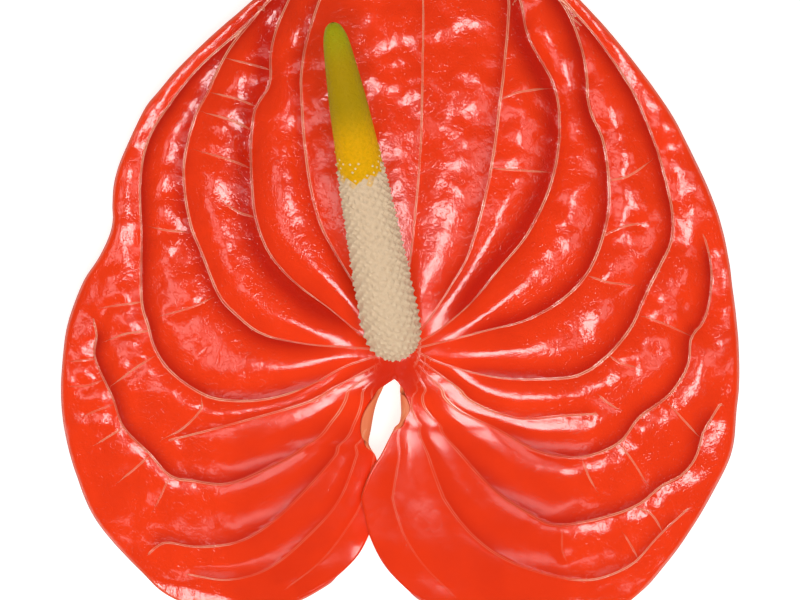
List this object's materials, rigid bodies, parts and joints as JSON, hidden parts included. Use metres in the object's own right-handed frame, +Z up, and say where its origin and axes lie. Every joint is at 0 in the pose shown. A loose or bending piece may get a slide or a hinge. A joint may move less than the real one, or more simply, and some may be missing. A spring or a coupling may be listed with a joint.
{
  "type": "cut anthurium stem",
  "caption": "Cut anthurium lying on its back: glossy red heart-shaped spathe with sunken veins, leaning studded spadix and a long round green stem.",
  "frame": {"origin": "middle of the flower's footprint, on the surface that it lies on", "axes": "+Z up out of the spathe's face, +Y along the spathe from its lobes to its tip, the stem running away along -Y"},
  "size_m": [0.1306, 0.5482, 0.0553],
  "materials": {
    "spathe_red": "waxy gloss of a fresh spathe, finely leathery",
    "spadix_cream": "dull cream florets in close spirals",
    "spadix_green": "soft yellow turning olive green towards the tip",
    "stem_green": "satin green skin with a pale cut end"
  },
  "bodies": {
    "root": {"spathe": "spathe_red", "spadix_cream": "spadix_cream", "spadix_green": "spadix_green", "stem": "stem_green"}
  },
  "joints": []
}
